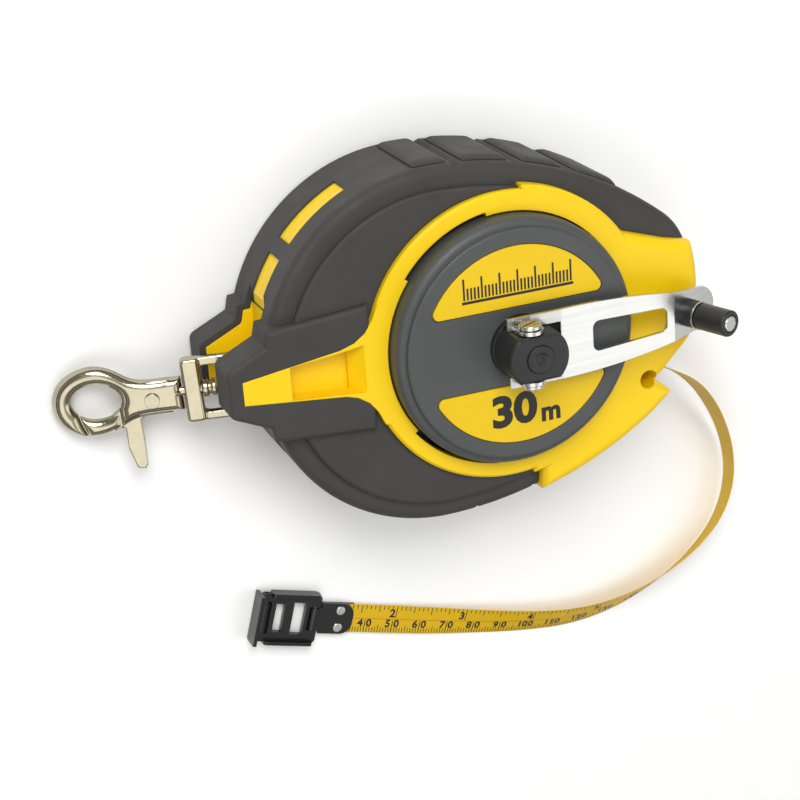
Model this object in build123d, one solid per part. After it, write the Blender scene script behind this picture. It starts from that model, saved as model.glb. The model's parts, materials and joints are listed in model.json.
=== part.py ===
from build123d import *
import os
from math import atan2, cos, degrees, hypot, radians, sin, sqrt

# Closed-case surveyor tape reel lying on its back, millimetres.
# +Z is the crank axis out of the front face, +X the tape mouth, -X the lanyard horn.
# The origin is on the crank axis at the plane the case rests on.

# ---- driving dimensions ----
CASE_T = 41.0             # case thickness
PARTING = CASE_T / 2      # height of the joint between the two case halves
MID_Y = -1.0              # the case outline is symmetrical about this line
BELLY_X, BELLY_R = -20.0, 56.0
FLANK_R = 120.5
SHOULDER_X = 56.0
SKIN = 2.0                # rubber overmould thickness
WALL = 2.5
PANEL_Z = 38.5            # raised grey panel on the front
RIM_Z = 36.4              # grey border round the panel
RING_R, DISC_R = 45.4, 38.8
DISC_OPENING_R = 39.3
LABEL_Z = 48.6            # face of the winding disc
LABEL_R, LABEL_EDGE_Y = 31.0, 12.3
BLADE_W, BLADE_T = 10.0, 0.2
CORE_R, COIL_R = 15.0, 42.0
CAVITY_R = 44.5
AXLE_R = 4.0
FIT = 0.05                # radial running clearance
HUB_R, HUB_FLAT_Y, HUB_Z = 9.5, 7.0, 63.0
PIVOT_X, PIVOT_Z = -1.0, 58.5
KNOB_X, KNOB_LEAN = 55.5, 20.0
POST_X, POST_R = -82.0, 2.2
HOOK_TILT, HOOK_YAW, HOOK_SLIP = 16.8, 2.2, -5.0
TAPE_END = (-47.3, -102.2)
TAPE_END_ANGLE = 163.7

os.makedirs("parts", exist_ok=True)


def save(name, shape):
    """Write one node as a STEP file named after it."""
    export_step(shape, os.path.join("parts", name + ".step"))


def prism(face, low, high):
    """The face extruded from one height to another."""
    return extrude(Pos(0, 0, low) * face, high - low)


def disc(radius, low, high, x=0.0, y=0.0):
    """A round bar standing on Z."""
    return Pos(x, y, (low + high) / 2) * Cylinder(radius, high - low)


def tube(outer, inner, low, high, x=0.0, y=0.0):
    """A round sleeve standing on Z."""
    return disc(outer, low, high, x, y) - disc(inner, low - 1, high + 1, x, y)


def block(x0, x1, y0, y1, z0, z1):
    """A box given by its sides."""
    centre = Pos((x0 + x1) / 2, (y0 + y1) / 2, (z0 + z1) / 2)
    return centre * Box(x1 - x0, y1 - y0, z1 - z0)


def polygon(*points):
    """A flat face with straight sides."""
    return make_face(Polyline(*points, close=True))


def wedge(start, end):
    """Face between two rays from the origin, in degrees."""
    rays = [radians(start + (end - start) * step / 4) for step in range(5)]
    return polygon((0.0, 0.0), *[(90 * cos(a), 90 * sin(a)) for a in rays])


def top_edges(shape, height, outside=0.0):
    """Edges lying at one height, farther from the crank axis than outside."""
    level = shape.edges().filter_by_position(Axis.Z, height - 0.01, height + 0.01)
    return [e for e in level if hypot(e.center().X, e.center().Y) > outside]


# ---- case outline ----
def flank_y(x):
    """Height of the long upper flank above the middle line."""
    return BELLY_R - FLANK_R + sqrt(FLANK_R**2 - (x - BELLY_X) ** 2)


def case_outline():
    """Teardrop with a round belly, two long flanks, a nose and the jaw of the mouth."""
    top, low = MID_Y + BELLY_R, MID_Y - BELLY_R
    jaw_x = 49.5
    edges = [
        ThreePointArc((BELLY_X, low), (BELLY_X - BELLY_R, MID_Y), (BELLY_X, top)),
        ThreePointArc((BELLY_X, top), (20, MID_Y + flank_y(20)), (SHOULDER_X, MID_Y + flank_y(SHOULDER_X))),
        ThreePointArc((SHOULDER_X, MID_Y + flank_y(SHOULDER_X)), (61.6, 21.6), (64.2, 14.5)),
        ThreePointArc((64.2, 14.5), (65.0, 0.5), (62.0, -13.0)),
        Line((62.0, -13.0), (52.5, -22.3)),
        Line((52.5, -22.3), (49.6, -24.6)),
        Line((49.6, -24.6), (55.6, -29.6)),
        Line((55.6, -29.6), (jaw_x, MID_Y - flank_y(jaw_x))),
        ThreePointArc((jaw_x, MID_Y - flank_y(jaw_x)), (20, MID_Y - flank_y(20)), (BELLY_X, low)),
    ]
    return make_face(edges)


def belly_outline():
    """Left part of the outline, closed off behind the ring."""
    top, low, end = MID_Y + BELLY_R, MID_Y - BELLY_R, 17.0
    edges = [
        ThreePointArc((BELLY_X, low), (BELLY_X - BELLY_R, MID_Y), (BELLY_X, top)),
        ThreePointArc((BELLY_X, top), (0, MID_Y + flank_y(0)), (end, MID_Y + flank_y(end))),
        Line((end, MID_Y + flank_y(end)), (end, MID_Y - flank_y(end))),
        ThreePointArc((end, MID_Y - flank_y(end)), (0, MID_Y - flank_y(0)), (BELLY_X, low)),
    ]
    return make_face(edges)


def horn_root():
    """Broad wedge that joins the lanyard horn to the case."""
    return polygon((-44, MID_Y + 19.8), (-75.6, MID_Y + 17.2), (-76.6, MID_Y + 12.8),
                   (-76.6, MID_Y - 12.8), (-75.6, MID_Y - 17.2), (-44, MID_Y - 19.8))


def horn_tip():
    """Tapered plate that holds the lanyard post."""
    tip = polygon((-74, MID_Y + 13), (-76.6, MID_Y + 12.8), (-88.6, MID_Y + 7.2),
                  (-88.6, MID_Y - 7.2), (-76.6, MID_Y - 12.8), (-74, MID_Y - 13))
    corners = [v for v in tip.vertices() if v.X < -80]
    return fillet(corners, 2.5)


OUTLINE = case_outline()
ROOT = horn_root()
TIP = horn_tip()
CORE_FACE = offset(OUTLINE, -SKIN)
GAP_LOW, GAP_HIGH = 12.5, 28.5    # slot in the horn that the lanyard loop swings in
GAP_X = -71.0
LIP_Z = 36.5                      # underside of the front wall


def yellow_face():
    """Part of the front that shows the hard shell: ring, nose and lower right flank."""
    ring = Circle(RING_R)
    step = Circle(46.8) & Pos(50 + 6.4, 0) * Rectangle(100, 120)
    nose = polygon((30, 34.5), (38.6, 26.0), (54.5, 20.7), (70, 17.0), (70, -60), (9.5, -60), (9.5, 0), (30, 0))
    return (ring + step + nose) & OUTLINE


def yellow_cap():
    """Solid front cap in the hard shell's colour, rounded along the case's edge."""
    cap = prism(yellow_face(), PARTING, CASE_T)
    cap = fillet(top_edges(cap, CASE_T, 47.5), 3.5)
    return chamfer(ring_edges(cap), 0.8)


def ring_edges(cap):
    """Outer edges of the ring on the cap's face."""
    level = top_edges(cap, CASE_T)
    return [e for e in level if 43 < hypot(e.center().X, e.center().Y) < 47.2 or e.center().X < 0]


def horn_insert():
    """Yellow wedge let into the horn, with the trough that takes the folded knob."""
    taper = polygon((-84.2, MID_Y + 3.6), (-44, MID_Y + 8.8), (-44, MID_Y - 8.2), (-84.2, MID_Y - 3.6))
    flare = [(-54.0, 7.2), (-49.5, 8.6), (-46.0, 11.0), (-43.4, 14.5), (-41.4, 19.0), (-38.0, 19.0)]
    sides = [(x, MID_Y + 0.3 + y) for x, y in flare] + [(x, MID_Y - y + 0.3) for x, y in reversed(flare)]
    ring = disc(DISC_OPENING_R + 1.5, 0, CASE_T + 1)
    return prism(taper, 30.0, CASE_T) + (prism(polygon(*sides), 30.0, CASE_T) - ring)


def knob_trough():
    """Hollow in the insert for the knob of the folded crank."""
    half = polygon((-69.6, MID_Y + 5.3), (-50.5, MID_Y + 7.0), (-50.5, MID_Y - 6.6), (-69.6, MID_Y - 5.0))
    ramp = Rot(90, 0, 0) * polygon((-52.0, 34.5), (-46.5, CASE_T), (-46.5, CASE_T + 1), (-55, CASE_T + 1), (-55, 34.5))
    runout = polygon((-55, MID_Y + 6.6), (-46.5, MID_Y + 7.6), (-46.5, MID_Y - 7.2), (-55, MID_Y - 6.2))
    return prism(half, 34.5, CASE_T + 1) + (extrude(ramp, 20, both=True) & prism(runout, 34, CASE_T + 1))


# ---- blade path inside the case ----
LEAD_START = (41.6, 8.8)
LEAD_BEND = (47.8, -21.2)
MOUTH = (55.0, -25.0)
LEAD_BEND_R = 3.5
ROLLER_AT = (50.9, -18.9)
ROLLER_R = 3.2


def lead_channel():
    """Passage for the blade from the drum chamber to the mouth."""
    def leg(a, b, width):
        angle = degrees(atan2(b[1] - a[1], b[0] - a[0]))
        length = hypot(b[0] - a[0], b[1] - a[1])
        return Pos((a[0] + b[0]) / 2, (a[1] + b[1]) / 2, PARTING) * Rot(0, 0, angle) * Box(length, width, 12.6)

    low, high = PARTING - 6.3, PARTING + 6.3
    out = (60.0, -27.7)
    passage = leg(LEAD_START, LEAD_BEND, 3.6) + leg(LEAD_BEND, out, 3.0)
    passage += disc(2.0, low, high, *LEAD_BEND)
    return passage + disc(ROLLER_R + 0.4, low, high, *ROLLER_AT)


def rim_pads(low, high):
    """Raised pads of the hard shell that fill the overmould's windows along the belly."""
    pads = []
    for start, end in ((143.8, 160.0), (114.5, 138.3), (-160.0, -143.8), (-138.3, -114.5)):
        pad = prism(Pos(BELLY_X, MID_Y) * wedge(start, end), low, high)
        pads.append(pad & (disc(BELLY_R - 0.7, low, high, BELLY_X, MID_Y)
                           - disc(BELLY_R - SKIN - 1.0, low - 1, high + 1, BELLY_X, MID_Y)))
    return pads


def rim_recess(low, high):
    """What the overmould leaves open over the pads."""
    cut = None
    for start, end in ((143.8, 160.0), (114.5, 138.3), (-160.0, -143.8), (-138.3, -114.5)):
        keep = prism(Pos(BELLY_X, MID_Y) * wedge(start, end), low, high)
        keep -= disc(BELLY_R - 0.7, low - 1, high + 1, BELLY_X, MID_Y)
        cut = keep if cut is None else cut + keep
    return cut


def grip_grooves():
    """Finger grooves across the rim above and below the drum."""
    cut = None
    for x, lean in ((-11.5, 5), (8.0, 10), (25.5, 17)):
        for side in (1, -1):
            y = MID_Y + side * (flank_y(x) + 1.0)
            bar = Pos(x, y, PARTING) * Rot(0, 0, 45 - side * lean) * Box(3.4, 3.4, 60)
            cut = bar if cut is None else cut + bar
    return cut


BOSS_R, SCREW_R, SCREW_TOP = 3.4, 1.4, PARTING + 9
RELIEF_AT = (46.6, -23.4)         # round finger relief in the front wall at the mouth


def screw_places():
    """Positions of the case screws."""
    return [(-60, 29), (-60, -31), (-18, 48.0), (-18, -50.0), (36, 35.5), (36, -37.5), (57, 11.5)]


# ---- front half ----
def front_grey():
    """Outer form of the front overmould before the hard shell is taken out of it."""
    rim = fillet(top_edges(prism(OUTLINE, PARTING, RIM_Z), RIM_Z), 3.0)
    panel = prism(offset(belly_outline(), -6.5), RIM_Z - 3.5, PANEL_Z)
    panel = fillet(top_edges(panel, PANEL_Z), 1.0)
    root = prism(ROOT, PARTING, CASE_T)
    root = fillet(top_edges(root, CASE_T), 1.5)
    tip = fillet(top_edges(prism(TIP, GAP_HIGH, CASE_T), CASE_T), 1.5)
    return rim + panel + root + tip


def horn_gap():
    """Slot between the two horn plates."""
    return block(-95, GAP_X, MID_Y - 30, MID_Y + 30, GAP_LOW, GAP_HIGH) & (
        prism(offset(TIP, 12), 0, CASE_T) + block(-95, -76.6, -30, 30, 0, CASE_T)
        + block(-77, GAP_X, MID_Y - 11.6, MID_Y + 11.6, 0, CASE_T))


def shell_core(low, high):
    """Hard shell volume under the overmould."""
    return prism(CORE_FACE, low, high) + prism(offset(ROOT + TIP, -SKIN), low, high)


def make_front():
    """Front shell with its chamber, and the overmould round it."""
    cap = yellow_cap()
    insert = horn_insert()
    solid = shell_core(PARTING, RIM_Z - 2.4) + cap + insert
    bosses = [disc(BOSS_R, PARTING, RIM_Z - 4, x, y) for x, y in screw_places()]
    solid += bosses
    solid += rim_pads(PARTING, PARTING + 5)
    grey = front_grey() - solid - horn_gap() - grip_grooves()
    grey -= rim_recess(PARTING - 1, PARTING + 5)
    grey -= lead_channel()
    shell = solid - knob_trough() - horn_gap() - lead_channel()
    shell -= disc(CAVITY_R, PARTING - 1, LIP_Z)
    shell -= disc(DISC_OPENING_R, LIP_Z - 1, CASE_T + 1)
    belly = prism(offset(CORE_FACE, -WALL), PARTING - 1, RIM_Z - 4.5)
    belly -= disc(CAVITY_R + WALL, 0, CASE_T)
    belly -= block(-100, -58, -22, 20, 0, CASE_T) + block(5, 90, -90, 90, 0, CASE_T)
    shell -= belly
    shell += bosses
    for x, y in screw_places():
        shell -= disc(SCREW_R, PARTING - 1, SCREW_TOP, x, y)
    relief = disc(3.0, PARTING + 5.5, CASE_T + 1, *RELIEF_AT)
    shell -= relief
    grey -= relief
    for start in (98, 217):
        sector = prism(wedge(start, start + 45), LIP_Z - 1, CASE_T + 1)
        shell -= sector & disc(DISC_OPENING_R + 1.2, LIP_Z - 1, CASE_T + 1)
    shell -= disc(POST_R, GAP_HIGH - 1, GAP_HIGH + 6, POST_X, MID_Y)
    shell -= disc(1.2, PARTING + 6, PARTING + 11, *ROLLER_AT)
    return shell, grey


# ---- rear half ----
BACK_SKIN = 1.2
REAR_FLOOR = BACK_SKIN + WALL
BACK_PLATE_R = 32.0


def make_back_plate():
    """Round plate let into the back, over the axle screw."""
    plate = disc(BACK_PLATE_R, 0, BACK_SKIN)
    return chamfer(top_edges(plate, 0.0), 0.4)


def make_rear():
    """Rear shell with the axle seat, and the overmould round it."""
    outer = prism(OUTLINE, 0, PARTING) + prism(ROOT, 0, PARTING) + prism(TIP, 0, GAP_LOW)
    outer = chamfer(top_edges(outer, 0.0), 1.6)
    bosses = [disc(BOSS_R, REAR_FLOOR - 0.5, PARTING, x, y) for x, y in screw_places()]
    solid = shell_core(BACK_SKIN, PARTING) + bosses + rim_pads(PARTING - 5, PARTING)
    back_window = disc(BACK_PLATE_R + 0.5, -1, BACK_SKIN + 0.5)
    grey = outer - solid - back_window - horn_gap() - grip_grooves()
    grey -= rim_recess(PARTING - 5, PARTING + 1)
    grey -= lead_channel()
    shell = solid - horn_gap() - lead_channel()
    shell -= disc(CAVITY_R, REAR_FLOOR, PARTING + 1)
    belly = prism(offset(CORE_FACE, -WALL), REAR_FLOOR, PARTING + 1)
    belly -= disc(CAVITY_R + WALL, 0, CASE_T)
    belly -= block(-100, -58, -22, 20, 0, CASE_T) + block(5, 90, -90, 90, 0, CASE_T)
    shell -= belly
    shell += bosses
    for x, y in screw_places():
        shell -= disc(SCREW_R, 0, PARTING + 1, x, y) + disc(3.0, -1, REAR_FLOOR, x, y)
        grey -= disc(3.2, -1, REAR_FLOOR, x, y)
    shell += disc(9.0, REAR_FLOOR - 0.5, REAR_FLOOR + 1.5)
    shell -= disc(2.1, 0, 9) + disc(4.2, -1, REAR_FLOOR - 0.6)
    shell -= disc(POST_R, GAP_LOW - 6, GAP_LOW + 1, POST_X, MID_Y)
    shell -= disc(1.2, PARTING - 11, PARTING - 6, *ROLLER_AT)
    return shell, grey


def make_case_screws():
    """Case screws from the back."""
    screws = []
    for x, y in screw_places():
        head = disc(2.8, REAR_FLOOR - 2.0, REAR_FLOOR, x, y)
        head -= Pos(x, y, REAR_FLOOR - 1.9) * (Box(0.8, 3.4, 1.2) + Box(3.4, 0.8, 1.2))
        screws.append(head + disc(SCREW_R, REAR_FLOOR, SCREW_TOP, x, y))
    return Compound(children=screws)


# ---- drum ----
FLANGE_LOW = PARTING - BLADE_W / 2 - 2.0
FLANGE_HIGH = PARTING + BLADE_W / 2 + 0.5
AXLE_BASE = REAR_FLOOR + 1.5
AXLE_TOP = 43.0
BUSH_R = 6.0


def make_axle():
    """Fixed steel axle with a foot flange and a groove for the clip."""
    axle = disc(7.5, AXLE_BASE, AXLE_BASE + 1.5) + disc(AXLE_R, AXLE_BASE, AXLE_TOP)
    axle -= tube(AXLE_R + 1, AXLE_R - 0.7, AXLE_TOP - 2.2, AXLE_TOP - 1.2)
    return axle - disc(1.7, AXLE_BASE - 1, AXLE_BASE + 9)


def make_axle_screw():
    """Screw that holds the axle to the rear shell."""
    head = disc(4.0, BACK_SKIN + 0.1, REAR_FLOOR - 0.6)
    head -= Pos(0, 0, BACK_SKIN + 0.2) * (Box(1.0, 5.0, 1.4) + Box(5.0, 1.0, 1.4))
    return head + disc(1.7, REAR_FLOOR - 0.6, AXLE_BASE + 8)


def make_axle_clip():
    """Retaining ring in the axle's groove, open on one side."""
    ring = tube(AXLE_R + 2.0, AXLE_R - 0.6, AXLE_TOP - 2.1, AXLE_TOP - 1.3)
    return ring - block(0, 8, -1.5, 1.5, AXLE_TOP - 3, AXLE_TOP)


BUSH_LOW, BUSH_HIGH = AXLE_BASE + 2.6, AXLE_TOP - 2.4


def make_drum():
    """Core with its two flanges, bush and washer."""
    core = tube(CORE_R, BUSH_R, FLANGE_LOW + 1.6, FLANGE_HIGH) + tube(BUSH_R + 2.5, BUSH_R, BUSH_LOW, BUSH_HIGH)
    core -= block(CORE_R - 1.6, CORE_R + 1, -0.6, 0.6, 0, CASE_T)      # slit that anchors the blade
    rear_flange = tube(COIL_R + 1.2, BUSH_R + 2.5, FLANGE_LOW, FLANGE_LOW + 1.5)
    front_flange = tube(COIL_R + 1.2, BUSH_R + 2.5, FLANGE_HIGH, FLANGE_HIGH + 1.5)
    for index in range(6):
        angle = radians(60 * index + 30)
        hole = disc(6.0, 0, CASE_T, 28 * cos(angle), 28 * sin(angle))
        rear_flange -= hole
    bush = tube(BUSH_R, AXLE_R + FIT, BUSH_LOW, BUSH_HIGH)
    washer = tube(7.2, AXLE_R + FIT, AXLE_BASE + 1.6, BUSH_LOW - 0.1)
    return core, rear_flange, front_flange, bush, washer


COIL_LOW, COIL_HIGH = PARTING - BLADE_W / 2, PARTING + BLADE_W / 2


def make_coil():
    """Wound blade as one block of turns."""
    return tube(COIL_R, CORE_R, COIL_LOW, COIL_HIGH)


COVER_LOW = 37.6
COVER_SKIRT = FLANGE_HIGH + 1.5


def make_cover():
    """Winding disc in the front opening, with a rounded edge and two label recesses."""
    puck = disc(DISC_R, COVER_LOW, LABEL_Z - 1.5) + disc(36.0, LABEL_Z - 2, LABEL_Z)
    puck = fillet(top_edges(puck, LABEL_Z), 0.7)
    rim = [e for e in top_edges(puck, LABEL_Z - 1.5, 37)]
    puck = fillet(rim, 2.6)
    puck -= disc(DISC_R - 3.0, COVER_LOW - 1, LABEL_Z - 4.5)
    skirt = tube(24.0, 21.5, COVER_SKIRT, LABEL_Z - 4)
    puck += skirt
    for side in (1, -1):
        puck -= prism(label_face(side, 0.25), LABEL_Z - 0.5, LABEL_Z + 1)
    puck -= disc(7.2, 0, 60)
    for angle in (90, 210, 330):
        puck -= disc(1.1, 0, 60, 8.4 * cos(radians(angle)), 8.4 * sin(radians(angle)))
    return puck


def label_face(side, grow=0.0):
    """One D-shaped label."""
    half = Circle(LABEL_R + grow) & Pos(0, side * (50 + LABEL_EDGE_Y - grow)) * Rectangle(100, 100)
    return fillet(half.vertices(), 2.0)


def make_label(side):
    """Label plate with a bevelled edge."""
    plate = prism(label_face(side), LABEL_Z - 0.5, LABEL_Z + 0.3)
    return chamfer(top_edges(plate, LABEL_Z + 0.3), 0.25)


# ---- crank ----
def make_hub():
    """Crank hub: round base, two flats for the arm, and a bore for the button."""
    base = disc(9.8, LABEL_Z, LABEL_Z + 2.2)
    upper = Circle(HUB_R) & Rectangle(40, 2 * HUB_FLAT_Y)
    body = prism(upper, LABEL_Z + 2, HUB_Z)
    body = fillet(top_edges(body, HUB_Z), 1.0)
    hub = base + body + disc(7.1, LABEL_Z - 4.0, LABEL_Z)
    hub -= disc(4.35, LABEL_Z + 3, HUB_Z + 1)
    hub -= disc(3.4, LABEL_Z - 5, LABEL_Z - 1.6)
    for side in (1, -1):
        hole = Pos(PIVOT_X, side * HUB_FLAT_Y, PIVOT_Z) * Rot(90, 0, 0) * Cylinder(1.5, 4.6)
        hub -= hole
    for angle in (90, 210, 330):
        hub -= disc(1.1, 0, LABEL_Z + 1.6, 8.4 * cos(radians(angle)), 8.4 * sin(radians(angle)))
    return hub


def make_hub_screws():
    """Screws from inside the disc into the hub's base."""
    screws = []
    for angle in (90, 210, 330):
        x, y = 8.4 * cos(radians(angle)), 8.4 * sin(radians(angle))
        screws.append(disc(2.0, LABEL_Z - 6.2, LABEL_Z - 4.5, x, y) + disc(1.1, LABEL_Z - 4.5, LABEL_Z + 1.5, x, y))
    return Compound(children=screws)


BUTTON_LOW = HUB_Z - 5.5
BUTTON_TRAVEL = 1.5


def make_button():
    """Release button with a dished face and a raised ring."""
    button = disc(4.3, BUTTON_LOW, HUB_Z + 0.6)
    button = fillet(top_edges(button, HUB_Z + 0.6), 0.4)
    button -= Pos(0, 0, HUB_Z + 0.6 + 5.6) * Sphere(6.1)
    return button + tube(1.5, 1.0, HUB_Z - 0.4, HUB_Z + 0.45)


def make_button_spring():
    """Compression spring under the button, as stacked turns."""
    turns = None
    floor, top = LABEL_Z + 3.4, BUTTON_LOW - 0.35
    count = 6
    for index in range(count):
        z = floor + (top - floor) * index / (count - 1)
        ring = Pos(0, 0, z) * Torus(3.0, 0.35)
        turns = ring if turns is None else turns + ring
    spine = disc(0.3, floor, top, 3.0, 0)
    return turns + spine


ARM_T = 1.2
ARM_Z = PIVOT_Z - 4.9             # underside of the arm beside the hub
BEND_X, BEND_Z = 50.0, 50.9       # underside of the arm where the end tab starts
TAB_X, TAB_Z = 67.0, 50.9 - 17.0 * sin(radians(KNOB_LEAN)) / cos(radians(KNOB_LEAN))


def arm_profile():
    """Side view of the bent strip, in the XZ plane."""
    low = [(-6.4, ARM_Z), (11, ARM_Z), (BEND_X, BEND_Z), (TAB_X, TAB_Z)]
    high = [(x, z + ARM_T) for x, z in reversed(low)]
    strip = polygon(*(low + high))
    return Rot(90, 0, 0) * strip


def arm_plan():
    """Outline of the arm seen along Z."""
    edges = [
        Line((-6.4, 10.9), (10.0, 11.0)),
        ThreePointArc((10.0, 11.0), (30.0, 10.4), (50.0, 7.9)),
        Line((50.0, 7.9), (60.2, 6.7)),
        ThreePointArc((60.2, 6.7), (66.9, 0), (60.2, -6.7)),
        Line((60.2, -6.7), (50.0, -7.9)),
        ThreePointArc((50.0, -7.9), (30.0, -10.4), (10.0, -11.0)),
        Line((10.0, -11.0), (-6.4, -10.9)),
        Line((-6.4, -10.9), (-6.4, 10.9)),
    ]
    slot = polygon((21.5, 4.9), (47.5, 3.8), (47.5, -3.8), (21.5, -4.9))
    return make_face(edges) - fillet(slot.vertices(), 2.2)


def make_arm():
    """Bent steel arm: yoke round the hub, slotted strip and a leaning end tab."""
    strip = extrude(arm_profile(), 20, both=True)
    arm = strip & prism(arm_plan(), 30, 70)
    arm -= block(-20, 10.6, -7.3, 7.3, 40, 70)
    ear = Pos(PIVOT_X, 0, PIVOT_Z) * Rot(90, 0, 0) * Cylinder(4.0, 1.2)
    for side in (1, -1):
        y = side * 7.9
        plate = Pos(PIVOT_X, y, (ARM_Z + PIVOT_Z) / 2) * Box(8.0, 1.2, PIVOT_Z - ARM_Z)
        arm += Pos(0, y, 0) * ear + plate
        arm -= Pos(PIVOT_X, y, PIVOT_Z) * Rot(90, 0, 0) * Cylinder(1.5 + FIT, 3)
    arm -= knob_frame() * Cylinder(1.8, 20)
    return arm


def knob_frame():
    """Place of the knob's seat: Z runs out along the knob."""
    span = (KNOB_X - BEND_X)
    z = BEND_Z + ARM_T - span * sin(radians(KNOB_LEAN)) / cos(radians(KNOB_LEAN))
    return Pos(KNOB_X, 0, z) * Rot(0, KNOB_LEAN, 0)


def make_pivot_screws():
    """Slotted shoulder screws that the arm turns on."""
    screws = []
    for side in (1, -1):
        shank = Pos(PIVOT_X, side * 6.75, PIVOT_Z) * Rot(90, 0, 0) * Cylinder(1.5, 4.0)
        head = Pos(PIVOT_X, side * 9.4, PIVOT_Z) * Rot(90, 0, 0) * Cylinder(3.4, 1.3)
        head = fillet(head.edges().filter_by_position(Axis.Y, side * 10.05 - 0.01, side * 10.05 + 0.01), 0.5)
        slot = Pos(PIVOT_X, side * 10.1, PIVOT_Z) * Rot(0, 25, 0) * Box(8, 1.2, 0.9)
        screws.append(shank + head - slot)
    return Compound(children=screws)


def make_knob_set():
    """Knob, its fixed collar and washer, and the rivet through them."""
    place = knob_frame()
    collar = place * (disc(4.3, 0, 5.0) - disc(1.8, -1, 6))
    washer = place * (disc(4.45, 5.0, 5.5) - disc(1.8, 4, 6))
    grip = disc(4.1, 5.6, 17.0)
    grip = fillet(grip.edges(), 0.6)
    grip -= disc(1.8 + FIT, 5, 18) + disc(2.7, 16.0, 18)
    rivet = disc(1.8, -ARM_T / cos(radians(KNOB_LEAN)) - 0.1, 16.5)
    cap = disc(2.5, 16.1, 17.2)
    rivet += fillet(top_edges(cap, 17.2), 0.5)
    tail = disc(3.0, -ARM_T - 1.1, -ARM_T - 0.05)
    rivet += tail
    return collar, washer, place * grip, place * rivet


# ---- mouth ----
def make_mouth_parts():
    """Guide roller and the pin it turns on."""
    low, high = PARTING - 6.0, PARTING + 6.0
    roller = tube(ROLLER_R, 1.2 + FIT, low, high, *ROLLER_AT)
    pin = disc(1.2, PARTING - 10.5, PARTING + 10.5, *ROLLER_AT)
    return roller, pin


# ---- blade ----
def make_lead():
    """Stretch of blade from the coil round the roller to the mouth."""
    bend = FilletPolyline(LEAD_START, LEAD_BEND, MOUTH, radius=LEAD_BEND_R + 0.2)
    return prism(trace(bend, BLADE_T), COIL_LOW, COIL_HIGH)


# Route of the free blade: centre point, and the turn of its width from upright.
BLADE_ROUTE = [
    (55.0, -25.0, 20.5, 0.0),
    (65.0, -30.3, 18.9, -7.0),
    (76.2, -38.4, 15.2, -9.0),
    (86.4, -51.8, 10.6, -5.0),
    (93.6, -68.0, 7.2, 3.0),
    (95.2, -83.4, 5.7, 12.0),
    (90.6, -97.0, 5.1, 21.0),
    (81.0, -107.4, 4.5, 29.0),
    (68.0, -115.4, 4.1, 37.0),
    (52.4, -120.8, 3.5, 47.0),
    (35.4, -122.4, 2.9, 56.0),
    (17.6, -119.8, 2.3, 64.0),
    (-0.6, -115.4, 1.7, 74.0),
    (-18.6, -110.6, 1.2, 86.0),
    (-34.0, -106.1, 1.0, 90.0),
    (TAPE_END[0], TAPE_END[1], 1.0, 90.0),
]


def blade_section(index):
    """Rectangle of the blade at one point of its route."""
    x, y, z, turn = BLADE_ROUTE[index]
    last = len(BLADE_ROUTE) - 1
    back = BLADE_ROUTE[index - 1] if index else LEAD_BEND + (PARTING,)
    front = BLADE_ROUTE[index + 1] if 0 < index < last else (x, y, z)
    along = Vector(front[0] - back[0], front[1] - back[1], front[2] - back[2]).normalized()
    side = Vector(0, 0, 1).cross(along).normalized() * -1
    width = (Vector(0, 0, 1) * cos(radians(turn)) + side * sin(radians(turn)))
    width = (width - along * width.dot(along)).normalized()
    thick = along.cross(width) * (BLADE_T / 2)
    width = width * (BLADE_W / 2)
    centre = Vector(x, y, z)
    corners = [centre + width + thick, centre + width - thick, centre - width - thick, centre - width + thick]
    return Face(Wire.make_polygon(corners, close=True))


def print_route():
    """Length of the free blade and the bend radius at each point of its route."""
    points = [Vector(*point[:3]) for point in BLADE_ROUTE]
    legs = [(b - a).length for a, b in zip(points, points[1:])]
    print("free blade", round(sum(legs), 1), "mm")
    for before, here, after in zip(points, points[1:], points[2:]):
        first, second, third = (here - before).length, (after - here).length, (after - before).length
        area = (here - before).cross(after - before).length / 2
        radius = first * second * third / (4 * area) if area > 1e-6 else float("inf")
        print("bend radius", round(radius, 1), "mm at", round(here.X, 1), round(here.Y, 1))


def make_blade():
    """Free blade from the mouth to the end hook, twisting from upright to flat."""
    spans = []
    for index in range(len(BLADE_ROUTE) - 1):
        spans.append(Solid.make_loft([blade_section(index).outer_wire(), blade_section(index + 1).outer_wire()], True))
    return spans[0].fuse(*spans[1:])


# ---- end hook, in its own frame: X runs away from the blade's end ----
END_PLACE = Pos(TAPE_END[0], TAPE_END[1], 0) * Rot(0, 0, TAPE_END_ANGLE)
END_MID_Z = 1.0
HINGE_1, HINGE_2 = 11.5, 29.0
FRAME_HALF = 8.4


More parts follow.
